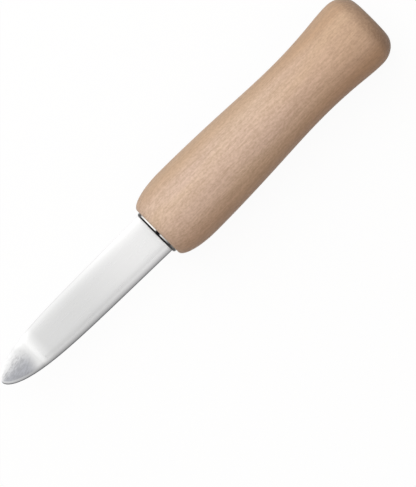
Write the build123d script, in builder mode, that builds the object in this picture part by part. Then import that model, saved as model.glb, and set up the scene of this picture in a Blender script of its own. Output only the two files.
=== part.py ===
from build123d import *
from math import cos, hypot, radians, sin, tan
import os

# Oyster knife with a wide blade, a turned-up tip and a lathe-turned wooden handle.
# It lies on its side on Z = 0: X runs along the handle towards the tip, Y is across
# the blade and Z is up, out of the blade's flat face. Lengths are millimetres.

# Blade, measured from the heel that sits on the ferrule
flat_length = 53.6  # straight stretch from heel to bend
bend_radius = 10.0
bend_angle = 18.0  # degrees that the tip turns up
tip_length = 13.87  # ground stretch past the bend
heel_width = 16.0
tip_base_width = 14.4  # width that the sides aim at near the tip
heel_thickness = 2.3
bend_thickness = 1.9
tip_thickness = 0.8
edge_thickness = 0.5
tip_flat = 0.12  # length lost where the tip is blunted
bevel_share = 0.36  # of the half width, rounded down to the edge
tip_bevel_share = 0.75  # the same at the tip, which is rounded nearly all across
bevel_pull_share = 0.55  # of that bevel, how far its curve stays level
outline_power = 6.0  # how late the sides start to draw in
nose_power = 0.55  # roundness of the tip, 0.5 is an ellipse
heel_offset = 0.28  # blade set to the side of the handle's axis
tip_lean = 0.72  # further drift to that side by the tip

# Tang, inside the handle
tang_length = 62.0
tang_root_width = 7.5
tang_end_width = 5.0
tang_corner = 1.5
cement_wall = 0.7  # least cement between tang corners and wood
cement_beyond = 3.0  # hole left behind the end of the tang
cement_clearance = 0.03
drill_point_angle = 118.0  # degrees, bottom of the hole

# Ferrule, a drawn cap with a slot
ferrule_radius = 8.7
ferrule_wall = 0.8
ferrule_length = 7.0
ferrule_show = 1.1  # stands out in front of the wood
ferrule_edge_radius = 0.9
ferrule_inner_radius = 0.2
ferrule_fit = 0.04
slot_clearance = 0.25

# Handle, turned from one piece of hardwood
handle_length = 98.9
nose_rim = 0.85  # wood face outside the ferrule
nose_round_length = 13.8
nose_radius = 13.55  # fullest turning, near the blade
waist_radius = 11.9
waist_from_butt = 33.3
butt_radius = 13.37
butt_round_length = 7.6
butt_round_depth = 6.4
groove_end_gap = 0.3  # behind the ferrule's skirt
shoulder_share = 0.6  # of the way from nose swell to waist
shoulder_drop_share = 0.55  # of that change in radius
flare_share = 0.6  # of the way from waist to butt swell
flare_rise_share = 0.49  # of that change in radius

# Stations of the blade's sections, as shares of each stretch
flat_shares = [0, 0.45, 0.8, 1]
bend_shares = [0, 0.5, 1]
tip_shares = [0.2, 0.4, 0.6, 0.77, 0.89, 0.955, 0.985, 1]

# Places that follow from the sizes above
bend_run = bend_radius * radians(bend_angle)
bend_reach = bend_radius * sin(radians(bend_angle))
middle_length = flat_length + bend_reach + tip_length * cos(radians(bend_angle))
blade_length = middle_length + tip_thickness / 2 * sin(radians(bend_angle))
overall_length = handle_length + ferrule_show + blade_length
axis_height = max(nose_radius, butt_radius)
butt_x = -overall_length / 2
nose_x = butt_x + handle_length
heel_x = nose_x + ferrule_show
bore_radius = hypot(tang_root_width, heel_thickness) / 2 + cement_wall
bore_end_x = heel_x - tang_length - cement_beyond
drill_point = bore_radius / tan(radians(drill_point_angle / 2))

lathe_plane = Plane(origin=(0, 0, axis_height), x_dir=(1, 0, 0), z_dir=(0, -1, 0))
lathe_axis = Axis((0, 0, axis_height), (1, 0, 0))


def midline(run):
    """Reach, rise and slope of the blade's middle at a run along it from the heel."""
    turned = max(0, min(run - flat_length, bend_run)) / bend_radius
    past = max(0, run - flat_length - bend_run)
    reach = min(run, flat_length) + bend_radius * sin(turned) + past * cos(turned)
    rise = bend_radius * (1 - cos(turned)) + past * sin(turned)
    return reach, rise, turned


def half_width(reach):
    """Half the blade's width at a reach from the heel: straight sides times a round nose."""
    left = (middle_length - reach + tip_flat) / (middle_length + tip_flat)
    straight = tip_base_width + (heel_width - tip_base_width) * left
    return straight / 2 * (1 - (1 - left) ** outline_power) ** nose_power


def half_thickness(run):
    """Half the thickness: a slow taper to the bend, then a faster one to the tip."""
    before = min(run, flat_length + bend_run) / (flat_length + bend_run)
    after = max(0, run - flat_length - bend_run) / tip_length
    body = heel_thickness + (bend_thickness - heel_thickness) * before
    return (body + (tip_thickness - bend_thickness) * after) / 2


def flat_share(run):
    """Flat share of the half width: the same up to the bend, then less and less to the tip."""
    after = max(0, run - flat_length - bend_run) / tip_length
    return 1 - bevel_share - (tip_bevel_share - bevel_share) * after


def section_plane(run):
    """Plane square to the blade's middle line, with its x across the blade."""
    reach, rise, turned = midline(run)
    drift = -heel_offset - tip_lean * reach / middle_length
    place = (heel_x + reach, drift, axis_height + rise)
    return Plane(origin=place, x_dir=(0, 1, 0), z_dir=(cos(turned), 0, sin(turned)))


straight_runs = [share * flat_length for share in flat_shares]
turned_runs = [flat_length + share * bend_run for share in bend_shares]
turned_runs += [flat_length + bend_run + share * tip_length for share in tip_shares]

os.makedirs("parts", exist_ok=True)

# Blade: flat faces with sides rounded down to a blunt edge, in two lofts that meet at the bend
with BuildPart() as blade:
    edge = edge_thickness / 2
    for runs in (straight_runs, turned_runs):
        for run in runs:
            wide = half_width(midline(run)[0])
            thick = half_thickness(run)
            flat = wide * flat_share(run)
            pull = flat + (wide - flat) * bevel_pull_share
            with BuildSketch(section_plane(run)):
                with BuildLine():
                    Line((-flat, thick), (flat, thick))
                    Bezier((flat, thick), (pull, thick), (wide, edge))
                    Line((wide, edge), (wide, -edge))
                    Bezier((wide, -edge), (pull, -thick), (flat, -thick))
                    Line((flat, -thick), (-flat, -thick))
                    Bezier((-flat, -thick), (-pull, -thick), (-wide, -edge))
                    Line((-wide, -edge), (-wide, edge))
                    Bezier((-wide, edge), (-pull, thick), (-flat, thick))
                make_face()
        loft()
    tang_end_x = heel_x - tang_length
    with BuildSketch(Plane.XY.offset(axis_height)) as tang_plan:
        with BuildLine():
            Polyline(
                (heel_x, tang_root_width / 2),
                (heel_x, -tang_root_width / 2),
                (tang_end_x, -tang_end_width / 2),
                (tang_end_x, tang_end_width / 2),
                close=True,
            )
        make_face()
        fillet(tang_plan.vertices().group_by(Axis.X)[0], radius=tang_corner)
    extrude(amount=heel_thickness / 2, both=True)
blade.part.label = "blade"
export_step(blade.part, "parts/blade.step")

# Ferrule: drawn cap with a rounded front edge, slotted for the tang
with BuildPart() as ferrule:
    inner_radius = ferrule_radius - ferrule_wall
    inner_x = heel_x - ferrule_wall
    skirt_x = heel_x - ferrule_length
    with BuildSketch(lathe_plane):
        with BuildLine():
            front = Line((heel_x, 0), (heel_x, ferrule_radius - ferrule_edge_radius))
            rim = TangentArc(front @ 1, (heel_x - ferrule_edge_radius, ferrule_radius), tangent=(0, 1))
            skirt = Polyline(
                rim @ 1,
                (skirt_x, ferrule_radius),
                (skirt_x, inner_radius),
                (inner_x - ferrule_inner_radius, inner_radius),
            )
            hollow = TangentArc(skirt @ 1, (inner_x, inner_radius - ferrule_inner_radius), tangent=(1, 0))
            Polyline(hollow @ 1, (inner_x, 0), front @ 0)
        make_face()
    revolve(axis=lathe_axis)
    with BuildSketch(Plane(origin=(heel_x, 0, axis_height), x_dir=(0, 1, 0), z_dir=(-1, 0, 0))):
        Rectangle(tang_root_width + 2 * slot_clearance, heel_thickness + 2 * slot_clearance)
    extrude(amount=ferrule_wall, mode=Mode.SUBTRACT)
ferrule.part.label = "ferrule"
export_step(ferrule.part, "parts/ferrule.step")

# Handle: one turned profile with the nose spigot, the ferrule's groove and the tang's hole
with BuildPart() as handle:
    face_radius = ferrule_radius + nose_rim
    nose_swell_x = nose_x - nose_round_length
    waist_x = butt_x + waist_from_butt
    butt_swell_x = butt_x + butt_round_length
    shoulder_x = nose_swell_x + (waist_x - nose_swell_x) * shoulder_share
    shoulder = nose_radius + (waist_radius - nose_radius) * shoulder_drop_share
    flare_x = waist_x + (butt_swell_x - waist_x) * flare_share
    flare = waist_radius + (butt_radius - waist_radius) * flare_rise_share
    spigot_radius = inner_radius - ferrule_fit
    spigot_corner = ferrule_inner_radius + ferrule_fit
    groove_x = skirt_x - groove_end_gap
    with BuildSketch(lathe_plane) as turning:
        with BuildLine():
            nose = EllipticalCenterArc(
                (nose_swell_x, face_radius),
                nose_round_length,
                nose_radius - face_radius,
                start_angle=0,
                arc_size=90,
            )
            body = Spline(
                nose @ 1,
                (shoulder_x, shoulder),
                (waist_x, waist_radius),
                (flare_x, flare),
                (butt_swell_x, butt_radius),
                tangents=[(-1, 0), (-1, 0)],
            )
            butt = EllipticalCenterArc(
                (butt_swell_x, butt_radius - butt_round_depth),
                butt_round_length,
                butt_round_depth,
                start_angle=90,
                arc_size=90,
            )
            hole = Polyline(
                butt @ 1,
                (butt_x, 0),
                (bore_end_x - drill_point, 0),
                (bore_end_x, bore_radius),
                (inner_x, bore_radius),
                (inner_x, spigot_radius - spigot_corner),
            )
            spigot = TangentArc(hole @ 1, (inner_x - spigot_corner, spigot_radius), tangent=(0, 1))
            Polyline(
                spigot @ 1,
                (groove_x, spigot_radius),
                (groove_x, ferrule_radius + ferrule_fit),
                (nose_x, ferrule_radius + ferrule_fit),
                nose @ 0,
            )
        make_face()
    revolve(axis=lathe_axis)
handle.part.label = "handle"
export_step(handle.part, "parts/handle.step")

# Cement: fills the hole round the tang, up to the inside of the ferrule
with BuildPart() as tang_cement:
    with BuildSketch(lathe_plane):
        with BuildLine():
            Polyline(
                (bore_end_x - drill_point + cement_clearance, 0),
                (bore_end_x, bore_radius - cement_clearance),
                (inner_x, bore_radius - cement_clearance),
                (inner_x, 0),
                close=True,
            )
        make_face()
    revolve(axis=lathe_axis)
    add(blade.part, mode=Mode.SUBTRACT)
tang_cement.part.label = "tang_cement"
export_step(tang_cement.part, "parts/tang_cement.step")
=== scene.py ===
import bpy
import numpy as np
from mathutils import Matrix, Vector


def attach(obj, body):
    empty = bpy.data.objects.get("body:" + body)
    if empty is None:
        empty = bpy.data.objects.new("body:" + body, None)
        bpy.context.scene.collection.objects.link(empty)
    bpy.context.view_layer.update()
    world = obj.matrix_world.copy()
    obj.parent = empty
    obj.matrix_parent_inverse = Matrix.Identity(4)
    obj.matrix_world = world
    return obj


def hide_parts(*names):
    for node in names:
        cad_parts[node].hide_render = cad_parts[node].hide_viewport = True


# Oyster knife: ground stainless blade, polished ferrule and turned hardwood handle, lying on a
# white table under soft light. Lengths are millimetres on the knife and metres in the room.
# X runs along the handle towards the tip, Y is across the blade and Z is up.

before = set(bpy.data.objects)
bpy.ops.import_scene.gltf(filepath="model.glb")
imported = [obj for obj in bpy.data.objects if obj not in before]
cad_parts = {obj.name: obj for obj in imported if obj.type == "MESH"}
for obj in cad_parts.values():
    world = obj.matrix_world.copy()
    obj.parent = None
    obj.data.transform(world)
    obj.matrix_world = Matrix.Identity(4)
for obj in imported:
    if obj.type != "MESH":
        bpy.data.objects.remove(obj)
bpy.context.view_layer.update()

MM = 0.001  # metres in a millimetre
crease_angle = np.radians(32)  # edges sharper than this are shaded sharp
tiny = 1e-6  # keeps a divisor off zero

# Blade
flat_length = 53.6  # straight stretch from heel to bend
bend_radius = 10.0
bend_angle = np.radians(18)  # by which the tip turns up
tip_length = 13.87  # ground stretch past the bend
heel_width = 16.0
tip_base_width = 14.4  # width that the sides aim at near the tip
heel_thickness = 2.3
bend_thickness = 1.9
tip_thickness = 0.8
tip_flat = 0.12  # length lost where the tip is blunted
outline_power = 6.0  # how late the sides start to draw in
nose_power = 0.55  # roundness of the tip, 0.5 is an ellipse
heel_offset = 0.28  # blade set to the side of the handle's axis
tip_lean = 0.72  # further drift to that side by the tip
flat_crown = 6.0  # how flat the faces are: 2 is an ellipse
tip_crown = 2.4  # the same at the tip
blunt = 1.3  # how blunt the edges are: 1 is a keen edge
heel_round = 0.1
heel_round_share = 0.3  # of that length, where a ring lies
tip_round = 0.2
flat_count, bend_count, tip_count = 70, 24, 90  # rings
quarter_count = 45  # points in a quarter of each section

# Tang, inside the handle
tang_length = 62.0
tang_root_width = 7.5
tang_end_width = 5.0
tang_corner = 1.5
tang_power = 16.0  # how square its section is: 2 is an ellipse
tang_inset = 0.01  # by which it is thinner than the heel, on either side
tang_count = 40  # rings

# Ferrule
ferrule_radius = 8.7
ferrule_wall = 0.8
ferrule_length = 7.0
ferrule_show = 1.1  # stands out in front of the wood
ferrule_rim = 0.9  # radius of the rounded front edge
ferrule_inner_round = 0.2
ferrule_fit = 0.04
slot_clearance = 0.25
skirt_stations = 1.6, 4.0  # rings along the skirt, from the heel
ferrule_around = 160  # points in each ring
face_count, rim_count, inner_count = 8, 12, 5  # rings

# Handle
handle_length = 98.9
nose_rim = 0.85  # wood face outside the ferrule
nose_round_length = 13.8
nose_radius = 13.55  # fullest turning, near the blade
waist_radius = 11.9
waist_from_butt = 33.3
butt_radius = 13.37
butt_round_length = 7.6
butt_round_depth = 6.4
groove_end_gap = 0.3  # behind the ferrule's skirt
shoulder_share = 0.6  # of the way from nose swell to waist
shoulder_drop_share = 0.55  # of that change in radius
flare_share = 0.6  # of the way from waist to butt swell
flare_rise_share = 0.49  # of that change in radius
bore_radius = 4.62
bore_beyond = 3.0  # hole left behind the end of the tang
drill_point = 2.77
end_radius = 0.3  # smallest ring on the axis, closed by a fan
corner_ease = 0.1  # reach of the rounding of turned corners
outside_step, inside_step = 0.9, 4.0  # longest steps along the profile
handle_around = 192  # points in each ring
butt_count, body_count, nose_count = 48, 24, 64  # points along the profile

# Places that follow
bend_run = bend_radius * bend_angle
tip_start = flat_length + bend_run
middle_length = flat_length + bend_radius * np.sin(bend_angle) + tip_length * np.cos(bend_angle)
blade_length = middle_length + tip_thickness / 2 * np.sin(bend_angle)
overall_length = handle_length + ferrule_show + blade_length
butt_x = -overall_length / 2
nose_x = butt_x + handle_length
heel_x = nose_x + ferrule_show
inner_x = heel_x - ferrule_wall
skirt_x = heel_x - ferrule_length
inner_radius = ferrule_radius - ferrule_wall
axis_height = nose_radius


def skin(name, rings, loop=False, fields=None):
    """Closed mesh through rings of points, an array of rings by points by x, y, z in millimetres.

    Neighbouring rings are joined by four-sided faces. The first and last ring are closed
    by a fan to their middle, or joined to each other where the rings form a loop. Each of
    the fields gives the points a number, from an array of rings by points.
    """
    count, around = rings.shape[:2]
    index = np.arange(count * around).reshape(count, around)
    ends = np.vstack([index, index[:1]]) if loop else index
    here, there = ends[:-1], ends[1:]
    quads = np.stack([here, np.roll(here, -1, 1), np.roll(there, -1, 1), there], -1)
    quads = quads.reshape(-1, 4)
    points = rings.reshape(-1, 3)
    faces = quads.tolist()
    if not loop:
        first, last = len(points), len(points) + 1
        points = np.vstack([points, rings[0].mean(0), rings[-1].mean(0)])
        start, end = index[0], index[-1]
        faces += np.stack([np.roll(start, -1), start, np.full(around, first)], -1).tolist()
        faces += np.stack([end, np.roll(end, -1), np.full(around, last)], -1).tolist()
    mesh = bpy.data.meshes.new(name)
    mesh.from_pydata((points * MM).tolist(), [], faces)
    a, b, c, d = (points[quads] - points.mean(0)).transpose(1, 0, 2)
    volume = (a * (np.cross(b, c) + np.cross(c, d))).sum()
    if volume < 0:
        mesh.flip_normals()
    for field_name, values in (fields or {}).items():
        numbers = np.concatenate([values.ravel(), [values[0].mean(), values[-1].mean()]])
        attribute = mesh.attributes.new(field_name, "FLOAT", "POINT")
        attribute.data.foreach_set("value", numbers.astype(np.float32))
    mesh.shade_smooth()
    mesh.set_sharp_from_angle(angle=crease_angle)
    piece = bpy.data.objects.new(name, mesh)
    bpy.context.scene.collection.objects.link(piece)
    return piece


def ellipse(centre, reach, rise, start, end, count):
    """Points on an ellipse about centre, from one angle to another."""
    angle = np.linspace(start, end, count)[:, None]
    return np.array(centre) + np.hstack([reach * np.cos(angle), rise * np.sin(angle)])


def spline(points, count):
    """Cubic through the points that is level at both ends and has no kink in slope or bend.

    Its parameter is the length of the chords. The slopes at the points follow from a linear
    system that makes the second derivatives of neighbouring cubics the same.
    """
    points = np.array(points, float)
    gap = np.hypot(*np.diff(points, axis=0).T)
    chord = np.diff(points, axis=0) / gap[:, None]
    system = np.eye(len(points))
    known = np.tile([np.sign(chord[0, 0]), 0.0], (len(points), 1))
    for k in range(1, len(points) - 1):
        system[k, k - 1 : k + 2] = gap[k], 2 * (gap[k - 1] + gap[k]), gap[k - 1]
        known[k] = 3 * (gap[k] * chord[k - 1] + gap[k - 1] * chord[k])
    slope = np.linalg.solve(system, known)
    path = []
    for k, length in enumerate(gap):
        u = np.linspace(0, 1, count)[:-1, None]
        ahead = (3 * u**2 - 2 * u**3) * (points[k + 1] - points[k])
        turn = length * ((u - 2 * u**2 + u**3) * slope[k] + (u**3 - u**2) * slope[k + 1])
        path.append(points[k] + ahead + turn)
    return np.vstack(path + [points[-1:]])


def eased(corners, reach, steps=5):
    """Polyline whose inner corners are rounded by a quadratic curve of the given reach."""
    corners = np.array(corners, float)
    share = np.linspace(0, 1, steps)[:, None]
    path = [corners[:1]]
    for before, corner, after in zip(corners, corners[1:], corners[2:]):
        near = corner + (before - corner) * reach / np.hypot(*(before - corner))
        far = corner + (after - corner) * reach / np.hypot(*(after - corner))
        path.append((1 - share) ** 2 * near + 2 * share * (1 - share) * corner + share**2 * far)
    return np.vstack(path + [corners[-1:]])


def filled(path, step):
    """The path with extra points, so that no two neighbours are further apart than step."""
    stretches = []
    for a, b in zip(path, path[1:]):
        pieces = max(1, int(np.ceil(np.hypot(*(b - a)) / step)))
        stretches.append(a + (b - a) * np.arange(pieces)[:, None] / pieces)
    return np.vstack(stretches + [path[-1:]])


def round_turn(count):
    """Angles of a full turn in equal steps."""
    return np.arange(count) * 2 * np.pi / count


def turned(profile, around):
    """Rings of a lathe profile of x and radius, turned about the handle's axis."""
    angle = round_turn(around)
    x = np.repeat(profile[:, :1], around, 1)
    y = profile[:, 1:] * np.sin(angle)
    z = profile[:, 1:] * np.cos(angle) + axis_height
    return np.stack([x, y, z], -1)


def handle_profile():
    """Half outline of the handle, from the butt forwards and back into the tang's hole.

    The butt is a quarter ellipse, then comes one smooth curve through flare, waist and
    shoulder to the swell, and a quarter ellipse at the nose. The nose's last two points give
    way to the rounding of the corner that follows them.
    """
    face = ferrule_radius + nose_rim
    swell_x, butt_swell_x = nose_x - nose_round_length, butt_x + butt_round_length
    waist_x = butt_x + waist_from_butt
    shoulder_x = swell_x + (waist_x - swell_x) * shoulder_share
    shoulder = nose_radius + (waist_radius - nose_radius) * shoulder_drop_share
    flare_x = waist_x + (butt_swell_x - waist_x) * flare_share
    flare = waist_radius + (butt_radius - waist_radius) * flare_rise_share
    marks = [
        (butt_swell_x, butt_radius),
        (flare_x, flare),
        (waist_x, waist_radius),
        (shoulder_x, shoulder),
        (swell_x, nose_radius),
    ]
    butt_centre, nose_centre = (butt_swell_x, butt_radius - butt_round_depth), (swell_x, face)
    butt = butt_round_length, butt_round_depth, np.pi, np.pi / 2, butt_count
    nose = nose_round_length, nose_radius - face, np.pi / 2, 0, nose_count
    outside = np.vstack(
        [
            [(butt_x, end_radius)],
            ellipse(butt_centre, *butt),
            spline(marks, body_count)[1:],
            ellipse(nose_centre, *nose)[1:],
        ]
    )
    groove = ferrule_radius + ferrule_fit
    spigot = inner_radius - ferrule_fit
    groove_x = skirt_x - groove_end_gap
    bore_end = heel_x - tang_length - bore_beyond
    inside = [
        outside[-3],
        (nose_x, face),
        (nose_x, groove),
        (groove_x, groove),
        (groove_x, spigot),
        (inner_x, spigot),
        (inner_x, bore_radius),
        (bore_end, bore_radius),
        (bore_end - drill_point, end_radius),
    ]
    inside = eased(inside, corner_ease)
    return np.vstack([filled(outside[:-2], outside_step), filled(inside[1:], inside_step)])


def ferrule_rings():
    """Loop of rings: slot, face, rounded rim, skirt outside and inside, and the back of the face.

    In polar form the slot's edge is the nearer of its two pairs of sides. On the face each
    ring lies part of the way from the slot's edge to the rim.
    """
    angle = round_turn(ferrule_around)
    half_width = tang_root_width / 2 + slot_clearance
    half_height = heel_thickness / 2 + slot_clearance
    sine, cosine = np.maximum(abs(np.stack([np.sin(angle), np.cos(angle)])), tiny)
    slot = np.minimum(half_width / sine, half_height / cosine)
    flat = ferrule_radius - ferrule_rim
    rim = np.linspace(0, np.pi / 2, rim_count)[1:]
    inner = np.linspace(np.pi / 2, 0, inner_count)
    across = np.linspace(0, 1, face_count)[:, None]
    face = slot + (flat - slot) * across
    hollow = inner_radius - ferrule_inner_round * (1 - np.sin(inner))
    outside, inside = [ferrule_radius] * 3, [inner_radius] * 2
    skirt = np.concatenate([flat + ferrule_rim * np.sin(rim), outside, inside, hollow])
    back = hollow[-1] + (slot - hollow[-1]) * across[1:]
    near, far = heel_x - np.array(skirt_stations)
    place = np.concatenate(
        [
            np.full(len(face), heel_x),
            heel_x - ferrule_rim * (1 - np.cos(rim)),
            [near, far, skirt_x, skirt_x, far],
            inner_x - ferrule_inner_round * (1 - np.cos(inner)),
            np.full(len(back), inner_x),
        ]
    )
    radius = np.concatenate([face, np.repeat(skirt[:, None], ferrule_around, 1), back])
    x = np.repeat(place[:, None], ferrule_around, 1)
    return np.stack([x, radius * np.sin(angle), radius * np.cos(angle) + axis_height], -1)


def blade_width(reach):
    """Half the blade's width: straight sides times a round nose, which draws in late."""
    left = (middle_length - reach + tip_flat) / (middle_length + tip_flat)
    straight = tip_base_width + (heel_width - tip_base_width) * left
    return straight / 2 * (1 - (1 - left) ** outline_power) ** nose_power


def mirrored(quarter):
    """Closed ring from its quarter between the middle of the top and of the right edge."""
    right = np.concatenate([quarter, (quarter * [1, -1])[:, -2::-1]], 1)
    left = (right * [-1, 1])[:, -2:0:-1]
    return np.concatenate([right, left], 1)


def crowned(half, thick, crown, thin):
    """Closed sections in which (y / half) ** crown + (z / thick) ** thin is 1."""
    turn = np.linspace(0, np.pi / 2, quarter_count)
    across = np.sin(turn) ** (2 / crown) * np.ones_like(half)
    up = np.clip(np.cos(turn), 0, 1) ** (2 / thin) * np.ones_like(half)
    return mirrored(np.stack([half * across, thick * up], -1))


def rounded_off(left, radius):
    """How far a quarter circle of that radius has drawn in, by the length left to the end."""
    return radius - np.sqrt(radius**2 - np.clip(radius - left, 0, radius) ** 2)


def tang_surface():
    """Rings of the tang from its end to the heel, and how far back each of their points lies.

    Its sides run straight together, its section is a rounded oblong and its end corners are
    quarter circles.
    """
    back = tang_length * np.sin(np.linspace(np.pi / 2, 0, tang_count))[:, None]
    half = (tang_root_width + (tang_end_width - tang_root_width) * back / tang_length) / 2
    half = half - rounded_off(tang_length - back, tang_corner)
    height = np.full_like(half, heel_thickness / 2 - tang_inset)
    section = crowned(half, height, tang_power, tang_power)
    back = np.repeat(back, section.shape[1], 1)
    return np.stack([heel_x - back, section[..., 0], section[..., 1] + axis_height], -1), back


def blade_rings():
    """Rings of the blade and its tang, from the end of the tang to the tip, and three fields.

    Each ring is a section square to the blade's middle line, which is straight, then a circle,
    then straight again. Its faces are a flat crown that is rounder at the tip, and both ends
    are rounded off. The fields give the share of the half width, the run from the heel, and
    the distance to the outline: the width left, times the cosine of the outline's slope.
    """
    run = np.concatenate(
        [
            [0, heel_round_share * heel_round, heel_round],
            np.linspace(0, flat_length, flat_count)[1:-1],
            np.linspace(flat_length, tip_start, bend_count)[:-1],
            tip_start + tip_length * np.sin(np.linspace(0, np.pi / 2, tip_count)),
        ]
    )[:, None]
    inset = rounded_off(run, heel_round) + rounded_off(tip_start + tip_length - run, tip_round)
    bent = np.clip(run - flat_length, 0, bend_run) / bend_radius
    past = np.maximum(0, run - tip_start) / tip_length
    reach = np.minimum(run, flat_length) + bend_radius * np.sin(bent)
    reach = reach + past * tip_length * np.cos(bent)
    rise = bend_radius * (1 - np.cos(bent)) + past * tip_length * np.sin(bent)
    body = heel_thickness + (bend_thickness - heel_thickness) * np.minimum(run / tip_start, 1)
    thick = (body + (tip_thickness - bend_thickness) * past) / 2 - inset
    wide = blade_width(reach) - inset
    section = crowned(wide, thick, flat_crown + (tip_crown - flat_crown) * past, blunt)
    side, up = section[..., 0], section[..., 1]
    drift = -heel_offset - tip_lean * reach / middle_length
    x = heel_x + reach - up * np.sin(bent)
    z = axis_height + rise + up * np.cos(bent)
    tang, back = tang_surface()
    slope = np.gradient(wide[:, 0], run[:, 0])[:, None]
    rim = (wide - abs(side)) / np.hypot(1, slope)
    fields = {
        "across_share": np.concatenate([np.zeros_like(back), side / wide]),
        "run_mm": np.concatenate([-back, np.repeat(run, back.shape[1], 1)]),
        "rim_mm": np.concatenate([np.full_like(back, tang_root_width), rim]),
    }
    return np.concatenate([tang, np.stack([x, drift + side, z], -1)]), fields


# Materials. While a value goes through its span, from the first number to the second, what
# it drives goes smoothly from none to all. Left is the side of lower Y.

wood_pink = (0.700, 0.525, 0.420, 1)
wood_yellow = (0.690, 0.520, 0.375, 1)
wood_orange = (0.575, 0.378, 0.240, 1)
wood_dark = (0.36, 0.235, 0.155, 1)
pith_depth = 26.0  # of the growth rings' middle, below the table
pith_wander = 5.0  # further down, by its noise
pith_slant = 0.03  # sideways, for each millimetre along the handle
pith_noise = dict(waves=(0.012, 0.05, 0.05), detail=2.0)
ring_rate = 2.4  # radians to the millimetre
ring_span = -0.2, 1.0
fibre_noise = dict(waves=(0.11, 1.45, 1.45), span=(0.36, 0.64), detail=4.0, roughness=0.7)
grain_noise = dict(waves=(0.9, 1.4, 1.4), span=(0.34, 0.66), detail=2.0, roughness=0.7)
fleck_noise = dict(waves=(0.30, 2.0, 2.0), span=(0.58, 0.70), detail=2.0, roughness=0.5)
pore_noise = dict(waves=(0.45, 5.0, 5.0), span=(0.66, 0.76), detail=1.0, roughness=0.5)
blotch_noise = dict(waves=(0.02, 0.10, 0.10), span=(0.3, 0.7), detail=2.0)
# Painted shade: warmer, darker colour down both sides of the handle, across Y.
left_span, left_orange = (-6.0, -11.5), 0.62  # across the handle
right_span, right_orange = (5.0, 12.5), 0.5
butt_span, butt_orange = (butt_x + 60, butt_x + 10), 0.6  # along it
end_span, end_shade = (butt_x + 6.5, butt_x + 2.5), 0.55  # darker end grain, partly painted shade where the butt rounds away
ring_shade, fibre_shade, grain_shade, fleck_shade, pore_shade = 0.07, 0.25, 0.28, 0.06, 0.06
fleck_height = -0.6  # against the fibres
wood_roughness, wood_specular = 0.52, 0.28
wood_bump = dict(distance=0.02, strength=0.5)

steel_middle = (0.79, 0.79, 0.785, 1)
# The next two colours are painted highlights: towards the heel, and along the bend and the tip's
# right edge.
steel_heel_highlight = (0.95, 0.945, 0.94, 1)
steel_highlight = (0.99, 0.99, 0.985, 1)
steel_tip_highlight = (0.95, 0.95, 0.95, 1)
steel_grey = (0.535, 0.545, 0.58, 1)
steel_grain = (0.36, 0.36, 0.375, 1)
steel_shade = (0.10, 0.10, 0.12, 1)
heel_highlight_span = 38, 4  # run over which a painted highlight brightens the steel towards the heel
tip_bow = 2.0  # by which the tip's grind starts later at the edges than in the middle
tip_span = tip_start - 0.6, tip_start + 4.6
# Painted highlight along the bend, brighter at the left.
bend_start_span = flat_length - 3.0, flat_length + 1.6
bend_end_span = tip_start + 3.0, tip_start - 1.0
bend_share_span, bend_left, bend_right = (-0.5, 0.9), 0.95, 0.5  # how bright the painted highlight is across
grind_noise = dict(waves=(0.12, 6.0, 6.0))
streak_span, streak_share = (0.35, 0.65), 0.04
cloud_noise, cloud_share = dict(waves=(0.05, 0.12, 0.12), detail=2.0), 0.08
slant_angle = np.radians(-14)
slant_noise = dict(waves=(0.3, 1.7, 1.7), detail=4.0, roughness=0.75)
scratch_span, scratch_share = (0.42, 0.60), 0.50
scratch_share_span, scratch_left = (-0.95, -0.2), 0.2  # how strong they are across
tip_share_span = -0.75, 0.35  # painted reflection, from bright to grey across the tip
right_share_span = -0.6, 0.0
highlight_strip_span, highlight_strip_share = (1.3, 0.7), 0.6  # painted highlight: strip inside the tip's right edge
shade_line_span, shade_line_share = (0.36, 0.12), 0.72  # painted shade: dark line along the right edge
edge_shade_span, edge_shade_share = (0.70, 0.92), 0.14  # painted shade in a band beside that line
steel_gloss, grind_gloss, tip_gloss = 0.26, 0.04, 0.12
grind_height, slant_height = 0.05, 0.6
steel_bump = dict(distance=0.01, strength=0.5)

ferrule_bright = (0.84, 0.83, 0.81, 1)
# The black is painted reflection of dark surroundings: a line round the rounded edge, black sides,
# a dark spot near the middle and a grey stretch on the right.
ferrule_black = (0.012, 0.011, 0.012, 1)
front_span = heel_x - 0.03, heel_x - 0.06  # past the face, which stays bright
black_span = heel_x - 0.66, heel_x - 0.62  # where the painted black line ends
side_span = 6.8, 7.8  # from the middle, either way
dark_spot_middle, dark_spot_span = 0.4, (1.3, 0.6)
rub_noise = dict(waves=(3.0, 0.4, 0.4))
right_dark_span, right_dark_share = (3.6, 6.2), 0.85
ferrule_gloss, rub_gloss, black_gloss = 0.06, 0.06, 0.3

cement_dark = (0.10, 0.07, 0.05, 1)
cement_light = (0.22, 0.16, 0.11, 1)
cement_noise = dict(waves=(1.2, 1.2, 1.2), detail=4.0)
cement_roughness = 0.75
cement_bump = dict(distance=0.08, strength=0.6)


def tree_of(name):
    """A new material, its node tree and shader, and its object coordinates in millimetres."""
    material = bpy.data.materials.new(name)
    material.use_nodes = True
    tree = material.node_tree
    shader = tree.nodes["Principled BSDF"]
    place = tree.nodes.new("ShaderNodeTexCoord")
    scaled = vector(tree, "MULTIPLY", place.outputs["Object"], (1 / MM, 1 / MM, 1 / MM))
    return material, tree, shader, scaled


def plug(tree, socket, value):
    """Links value into socket if it is an output, or else sets it."""
    if isinstance(value, bpy.types.NodeSocket):
        tree.links.new(value, socket)
    else:
        socket.default_value = value


def vector(tree, operation, first, second):
    """Vector maths on two outputs or values."""
    node = tree.nodes.new("ShaderNodeVectorMath")
    node.operation = operation
    plug(tree, node.inputs[0], first)
    plug(tree, node.inputs[1], second)
    return node.outputs["Value" if operation == "DOT_PRODUCT" else "Vector"]


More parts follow.
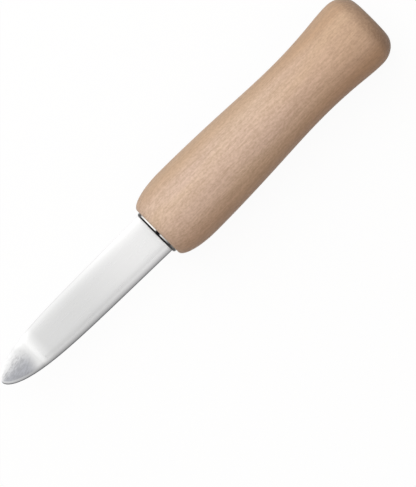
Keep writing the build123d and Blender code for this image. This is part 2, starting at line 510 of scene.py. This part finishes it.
def maths(tree, operation, first, second=0.0, third=0.0):
    """Maths on up to three outputs or values."""
    node = tree.nodes.new("ShaderNodeMath")
    node.operation = operation
    for socket, value in zip(node.inputs, (first, second, third)):
        plug(tree, socket, value)
    return node.outputs[0]


def times(tree, first, second):
    return maths(tree, "MULTIPLY", first, second)


def ramp(tree, value, low, high, start=0.0, end=1.0):
    """Smooth step of value from start to end as it goes from low to high."""
    node = tree.nodes.new("ShaderNodeMapRange")
    node.interpolation_type = "SMOOTHSTEP"
    plug(tree, node.inputs["Value"], value)
    limits = {"From Min": low, "From Max": high, "To Min": start, "To Max": end}
    for name, number in limits.items():
        node.inputs[name].default_value = number
    return node.outputs["Result"]


def noise(tree, place, waves, detail=3.0, roughness=0.55, span=None):
    """Noise with its waves per millimetre along each axis. With a span, it is a ramp over that."""
    node = tree.nodes.new("ShaderNodeTexNoise")
    plug(tree, node.inputs["Vector"], vector(tree, "MULTIPLY", place, waves))
    node.inputs["Scale"].default_value = 1.0
    node.inputs["Detail"].default_value = detail
    node.inputs["Roughness"].default_value = roughness
    return ramp(tree, node.outputs["Fac"], *span) if span else node.outputs["Fac"]


def mixed(tree, share, first, second):
    """Colour that goes from first to second by share. Sockets go by id, as some share a name."""
    node = tree.nodes.new("ShaderNodeMix")
    node.data_type = "RGBA"
    sockets = {socket.identifier: socket for socket in (*node.inputs, *node.outputs)}
    plug(tree, sockets["Factor_Float"], share)
    plug(tree, sockets["A_Color"], first)
    plug(tree, sockets["B_Color"], second)
    return sockets["Result_Color"]


def bumped(tree, shader, height, distance, strength):
    """Bumps the shader by height, which stands for the distance in millimetres where it is one."""
    node = tree.nodes.new("ShaderNodeBump")
    node.inputs["Strength"].default_value = strength
    node.inputs["Distance"].default_value = distance * MM
    plug(tree, node.inputs["Height"], height)
    tree.links.new(node.outputs["Normal"], shader.inputs["Normal"])


def parts(tree, place):
    """X, Y and Z of a place."""
    node = tree.nodes.new("ShaderNodeSeparateXYZ")
    tree.links.new(place, node.inputs[0])
    return node.outputs


def field(tree, name):
    """A number that the mesh gives each of its points."""
    node = tree.nodes.new("ShaderNodeAttribute")
    node.attribute_name = name
    return node.outputs["Fac"]


def hardwood():
    """Pale close-grained wood: growth rings about a pith below the table, fibres along X.

    It is pinkish beige, more orange towards the butt, and warmer and darker down both sides in
    painted shade. The butt's end grain is darker, partly painted shade. Short grains, flecks and
    pores dust it.
    """
    material, tree, shader, place = tree_of("pale_hardwood")
    x, y, z = parts(tree, place)
    wander = noise(tree, place, **pith_noise)
    deep = maths(tree, "ADD", z, maths(tree, "MULTIPLY_ADD", wander, pith_wander, pith_depth))
    wide = maths(tree, "MULTIPLY_ADD", x, pith_slant, y)
    radius = maths(tree, "SQRT", maths(tree, "MULTIPLY_ADD", deep, deep, times(tree, wide, wide)))
    ring = ramp(tree, maths(tree, "SINE", times(tree, radius, ring_rate)), *ring_span)
    fibre, fleck = noise(tree, place, **fibre_noise), noise(tree, place, **fleck_noise)
    colour = mixed(tree, noise(tree, place, **blotch_noise), wood_pink, wood_yellow)
    # Orange: painted shade down both sides, and more orange towards the butt.
    orange = 0.0
    for value, span, share in (
        (y, left_span, left_orange),
        (y, right_span, right_orange),
        (x, butt_span, butt_orange),
    ):
        orange = maths(tree, "ADD", ramp(tree, value, *span, end=share), orange)
    colour = mixed(tree, maths(tree, "MINIMUM", orange, 1.0), colour, wood_orange)
    # Darker end grain at the butt, partly painted shade where it rounds away.
    shade = ramp(tree, x, *end_span, end=end_shade)
    for mark, share in (
        (ring, ring_shade),
        (fibre, fibre_shade),
        (noise(tree, place, **grain_noise), grain_shade),
        (fleck, fleck_shade),
        (noise(tree, place, **pore_noise), pore_shade),
    ):
        shade = maths(tree, "MULTIPLY_ADD", mark, share, shade)
    plug(tree, shader.inputs["Base Color"], mixed(tree, shade, colour, wood_dark))
    shader.inputs["Roughness"].default_value = wood_roughness
    shader.inputs["Specular IOR Level"].default_value = wood_specular
    bumped(tree, shader, maths(tree, "MULTIPLY_ADD", fleck, fleck_height, fibre), **wood_bump)
    return material


def ground_steel():
    """Satin stainless steel, ground lengthwise, with a slanting grind on the turned-up tip.

    Painted highlights brighten the bend and the heel. The tip goes from a painted highlight at its
    left to grey, with a painted highlight strip inside its right edge; painted shade darkens the
    right edge.
    """
    material, tree, shader, place = tree_of("satin_stainless")
    run, share, rim = (field(tree, name) for name in ("run_mm", "across_share", "rim_mm"))
    ground = maths(tree, "SUBTRACT", run, times(tree, times(tree, share, share), tip_bow))
    tip = ramp(tree, ground, *tip_span)
    bend_end = ramp(tree, ground, *bend_end_span)
    bend = times(tree, ramp(tree, run, *bend_start_span), bend_end)
    grind = noise(tree, place, **grind_noise)
    slanted = tree.nodes.new("ShaderNodeVectorRotate")
    slanted.rotation_type = "Z_AXIS"
    slanted.inputs["Angle"].default_value = slant_angle
    tree.links.new(place, slanted.inputs["Vector"])
    slanting = noise(tree, slanted.outputs["Vector"], **slant_noise)
    cloud = noise(tree, place, **cloud_noise)
    right = ramp(tree, share, *right_share_span)
    # Painted highlight: the steel brightens towards the heel.
    plain = mixed(tree, ramp(tree, run, *heel_highlight_span), steel_middle, steel_heel_highlight)
    plain = mixed(tree, times(tree, cloud, cloud_share), plain, steel_grey)
    plain = mixed(tree, ramp(tree, grind, *streak_span, end=streak_share), plain, steel_grey)
    # Painted highlight along the bend.
    bend_highlight = times(tree, bend, ramp(tree, share, *bend_share_span, bend_left, bend_right))
    plain = mixed(tree, bend_highlight, plain, steel_highlight)
    # Painted reflection across the tip: bright at the left, grey at the right, under the real
    # scratches.
    tip_grind_and_sheen = mixed(tree, ramp(tree, share, *tip_share_span), steel_tip_highlight, steel_grey)
    scratches = ramp(tree, slanting, *scratch_span, end=scratch_share)
    across = ramp(tree, share, *scratch_share_span, start=scratch_left)
    tip_grind_and_sheen = mixed(tree, times(tree, scratches, across), tip_grind_and_sheen, steel_grain)
    # Painted highlight: a light strip inside the tip's right edge.
    light = times(tree, ramp(tree, rim, *highlight_strip_span, end=highlight_strip_share), right)
    tip_grind_and_sheen = mixed(tree, light, tip_grind_and_sheen, steel_highlight)
    colour = mixed(tree, tip, plain, tip_grind_and_sheen)
    # Painted shade: a dark line along the right edge and a darker band beside it.
    line = times(tree, ramp(tree, rim, *shade_line_span, end=shade_line_share), right)
    edge_shade = maths(tree, "ADD", ramp(tree, share, *edge_shade_span, end=edge_shade_share), line)
    plug(tree, shader.inputs["Base Color"], mixed(tree, edge_shade, colour, steel_shade))
    shader.inputs["Metallic"].default_value = 1.0
    gloss = maths(tree, "MULTIPLY_ADD", grind, grind_gloss, steel_gloss)
    gloss = maths(tree, "MULTIPLY_ADD", tip, tip_gloss, gloss)
    plug(tree, shader.inputs["Roughness"], gloss)
    height = times(tree, grind, grind_height)
    height = maths(tree, "MULTIPLY_ADD", times(tree, slanting, tip), slant_height, height)
    bumped(tree, shader, height, **steel_bump)
    return material


def polished_steel():
    """Bright drawn steel with faint rubbing marks and painted dark reflections, of which the flat
    face is free.

    The painted reflection is a black line round the front of the rounded edge. It goes further
    back at both sides, in a dark spot near the middle, and less black on the right.
    """
    material, tree, shader, place = tree_of("bright_ferrule_steel")
    x, y, _ = parts(tree, place)
    rubbed = noise(tree, place, **rub_noise)
    front = ramp(tree, x, *front_span)
    # Painted reflection: a black line round the front of the rounded edge.
    black = times(tree, ramp(tree, x, *black_span), front)
    sides = ramp(tree, maths(tree, "ABSOLUTE", y), *side_span)
    from_dark_spot = maths(tree, "ABSOLUTE", maths(tree, "SUBTRACT", y, dark_spot_middle))
    dark_spot = ramp(tree, from_dark_spot, *dark_spot_span)
    # Painted reflection of dark surroundings at the sides, near the middle and on the right.
    reflected_dark = ramp(tree, y, *right_dark_span, end=right_dark_share)
    reflected_dark = maths(tree, "MAXIMUM", reflected_dark, maths(tree, "MAXIMUM", sides, dark_spot))
    painted_reflection = maths(tree, "MAXIMUM", black, times(tree, reflected_dark, front))
    colour = mixed(tree, painted_reflection, ferrule_bright, ferrule_black)
    plug(tree, shader.inputs["Base Color"], colour)
    shader.inputs["Metallic"].default_value = 1.0
    gloss = maths(tree, "MULTIPLY_ADD", rubbed, rub_gloss, ferrule_gloss)
    gloss = maths(tree, "MULTIPLY_ADD", black, black_gloss, gloss)
    plug(tree, shader.inputs["Roughness"], gloss)
    return material


def cured_cement():
    """Dull brown bedding with a fine grain."""
    material, tree, shader, place = tree_of("brown_bedding")
    grain = noise(tree, place, **cement_noise)
    plug(tree, shader.inputs["Base Color"], mixed(tree, grain, cement_dark, cement_light))
    shader.inputs["Roughness"].default_value = cement_roughness
    bumped(tree, shader, grain, **cement_bump)
    return material


wood, steel, bright, bedding = hardwood(), ground_steel(), polished_steel(), cured_cement()
handle = skin("turned_handle", turned(handle_profile(), handle_around))
blade_surface, blade_fields = blade_rings()
blade = skin("ground_blade", blade_surface, fields=blade_fields)
ferrule = skin("drawn_ferrule", ferrule_rings(), loop=True)
for piece, node, slot, material in (
    (handle, "handle", "hardwood", wood),
    (blade, "blade", "stainless_steel", steel),
    (ferrule, "ferrule", "polished_steel", bright),
):
    piece.data.materials.append(material)
    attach(piece, "root")
    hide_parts(node)
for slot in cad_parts["tang_cement"].material_slots:
    slot.material = bedding


# Room. The studio's stops are angles in degrees, from straight up, and levels.

table_half = 3.0
table_gap = 0.0001  # below the knife, so that they share no plane
table_shadow = 0.06  # share of the table's look that takes shadow
table_white = 0.95
table_grey = 0.12  # to all other light
room_light = 0.57  # level where it doesn't fall off
room_right_span, room_right_level = (0.45, 1.0), 0.3
room_butt_span, room_butt_level = (-0.2, -1.0), 0.4
warm_side = (1.33, 1.04, 0.85, 1)
warm_span = -0.1, 0.6
patch_side = np.radians(8)  # to the right of straight up
patch_radius = np.radians(4.5)
patch_edge = 0.3  # share of that radius over which it fades, in and out
patch_level = 0.2
top_level = 2.0  # of the studio, more than any stop
studio_across = (
    (-180, 0.4), (-110, 1.2), (-70, 1.25), (-35, 1.18), (-12, 1.02),
    (12, 0.96), (30, 0.76), (60, 0.48), (90, 0.3), (180, 0.3),
)
studio_along = (
    (-180, 0.6), (-50, 0.75), (-36, 0.82), (-24, 1.08),
    (-8, 1.0), (20, 1.0), (90, 0.8), (180, 0.6),
)
softbox_place = (0.0, -0.514, 0.613)
softbox_size = (1.4, 0.6)
softbox_power = 5.9  # watts
picture_size = 416, 487
tip_pixel, butt_pixel = (4.71, 384.52), (370.72, 18.45)  # ends of the knife's axis
lens_length = 400.0
sensor_size = 36
nearest, farthest = 0.01, 20  # clipping


def emitting(tree, colour, strength):
    node = tree.nodes.new("ShaderNodeEmission")
    node.inputs["Color"].default_value = (*colour, 1)
    node.inputs["Strength"].default_value = strength
    return node.outputs[0]


def diffusing(tree, grey):
    node = tree.nodes.new("ShaderNodeBsdfDiffuse")
    node.inputs["Color"].default_value = (grey, grey, grey, 1)
    return node.outputs[0]


def blended(tree, share, first, second):
    node = tree.nodes.new("ShaderNodeMixShader")
    plug(tree, node.inputs[0], share)
    tree.links.new(first, node.inputs[1])
    tree.links.new(second, node.inputs[2])
    return node.outputs[0]


def seen(tree):
    """One where a surface is looked at, directly, mirrored or through another."""
    path = tree.nodes.new("ShaderNodeLightPath")
    shown = maths(tree, "ADD", path.outputs["Is Camera Ray"], path.outputs["Is Glossy Ray"])
    shown = maths(tree, "ADD", shown, path.outputs["Is Transmission Ray"])
    return maths(tree, "MINIMUM", shown, 1.0)


def table():
    """White table that shows the knife's faint shadow and is grey to the light it throws back."""
    mesh = bpy.data.meshes.new("white_table")
    corners = [(-1, -1), (1, -1), (1, 1), (-1, 1)]
    corners = [(x * table_half, y * table_half, 0) for x, y in corners]
    mesh.from_pydata(corners, [], [(0, 1, 2, 3)])
    top = bpy.data.objects.new("white_table", mesh)
    top.location.z = -table_gap
    bpy.context.scene.collection.objects.link(top)
    material = bpy.data.materials.new("white_table_top")
    material.use_nodes = True
    tree = material.node_tree
    plain, shaded = emitting(tree, (1, 1, 1), 1.0), diffusing(tree, table_white)
    white = blended(tree, table_shadow, plain, shaded)
    whole = blended(tree, seen(tree), diffusing(tree, table_grey), white)
    tree.links.new(whole, tree.nodes["Material Output"].inputs["Surface"])
    mesh.materials.append(material)


def panel(name, place, size, power):
    """Area lamp that points at the knife's middle. Glossy things mirror the studio instead."""
    light = bpy.data.lights.new(name, "AREA")
    light.shape = "RECTANGLE"
    light.size, light.size_y = size
    light.energy = power
    lamp = bpy.data.objects.new(name, light)
    lamp.location = place
    lamp.rotation_euler = (-Vector(place)).to_track_quat("-Z", "X").to_euler()
    lamp.visible_camera = False
    lamp.visible_glossy = False
    bpy.context.scene.collection.objects.link(lamp)


def steps(tree, value, stops):
    """Level that goes straight from stop to stop, by an angle in radians."""
    node = tree.nodes.new("ShaderNodeValToRGB")
    plug(tree, node.inputs[0], maths(tree, "MULTIPLY_ADD", value, 1 / (2 * np.pi), 0.5))
    stretch = node.color_ramp.elements
    for angle, level in stops:
        place = angle / 360 + 0.5
        stop = stretch[0] if place == 0 else stretch[-1] if place == 1 else stretch.new(place)
        grey = level / top_level
        stop.color = (grey, grey, grey, 1)
    return times(tree, node.outputs[0], top_level)


def sky():
    """White surroundings to the eye, a studio to what is glossy, and a dim room to the rest.

    The studio has a softbox on the left, falls off to the right and past the butt, and has
    a small dark patch overhead. The room falls off the same two ways, and is warm on the right.
    """
    world = bpy.data.worlds.new("soft_room")
    world.use_nodes = True
    bpy.context.scene.world = world
    tree = world.node_tree
    back = tree.nodes["Background"]
    path = tree.nodes.new("ShaderNodeLightPath")
    glossy, direct = path.outputs["Is Glossy Ray"], path.outputs["Is Camera Ray"]
    way = tree.nodes.new("ShaderNodeTexCoord").outputs["Generated"]
    x, y, z = parts(tree, way)
    across = steps(tree, maths(tree, "ARCTAN2", y, z), studio_across)
    studio = times(tree, across, steps(tree, maths(tree, "ARCTAN2", x, z), studio_along))
    patch_way = (0, np.sin(patch_side), np.cos(patch_side))
    limits = np.cos([patch_radius * (1 + patch_edge), patch_radius * (1 - patch_edge)])
    dark = ramp(tree, vector(tree, "DOT_PRODUCT", way, patch_way), *limits)
    studio = times(tree, studio, maths(tree, "MULTIPLY_ADD", dark, patch_level - 1, 1.0))
    room = ramp(tree, y, *room_right_span, room_light, room_right_level * room_light)
    room = times(tree, room, ramp(tree, x, *room_butt_span, 1.0, room_butt_level))
    light = maths(tree, "MULTIPLY_ADD", glossy, maths(tree, "SUBTRACT", studio, room), room)
    lack = maths(tree, "SUBTRACT", 1.0, light)
    plug(tree, back.inputs["Strength"], maths(tree, "MULTIPLY_ADD", direct, lack, light))
    unseen = maths(tree, "SUBTRACT", 1.0, maths(tree, "MAXIMUM", glossy, direct))
    warm = times(tree, ramp(tree, y, *warm_span), unseen)
    plug(tree, back.inputs["Color"], mixed(tree, warm, (1, 1, 1, 1), warm_side))


def camera():
    """Long lens straight above the knife, with the ends of its axis at their two pixels."""
    tip, butt, size = np.array(tip_pixel), np.array(butt_pixel), np.array(picture_size)
    length = np.hypot(*(tip - butt))
    along = (tip - butt) / length
    across = np.array([along[1], -along[0]])
    scale = overall_length / length * MM
    away = size / 2 - (tip + butt) / 2
    distance = scale * size[1] * lens_length / sensor_size
    data = bpy.data.cameras.new("camera")
    data.sensor_fit = "VERTICAL"
    data.sensor_height = sensor_size
    data.sensor_width = sensor_size
    data.lens = lens_length
    data.clip_start, data.clip_end = nearest, farthest
    view = bpy.data.objects.new("camera", data)
    right = Vector((along[0], along[1], 0))
    up = Vector((-along[1], along[0], 0))
    turn = Matrix((right, up, Vector((0, 0, 1)))).transposed().to_4x4()
    place = Vector((scale * away @ along, scale * away @ across, axis_height * MM + distance))
    view.matrix_world = Matrix.Translation(place) @ turn
    bpy.context.scene.collection.objects.link(view)
    bpy.context.scene.camera = view


table()
sky()
panel("left_softbox", softbox_place, softbox_size, softbox_power)
camera()
bpy.context.scene.view_settings.view_transform = "Standard"
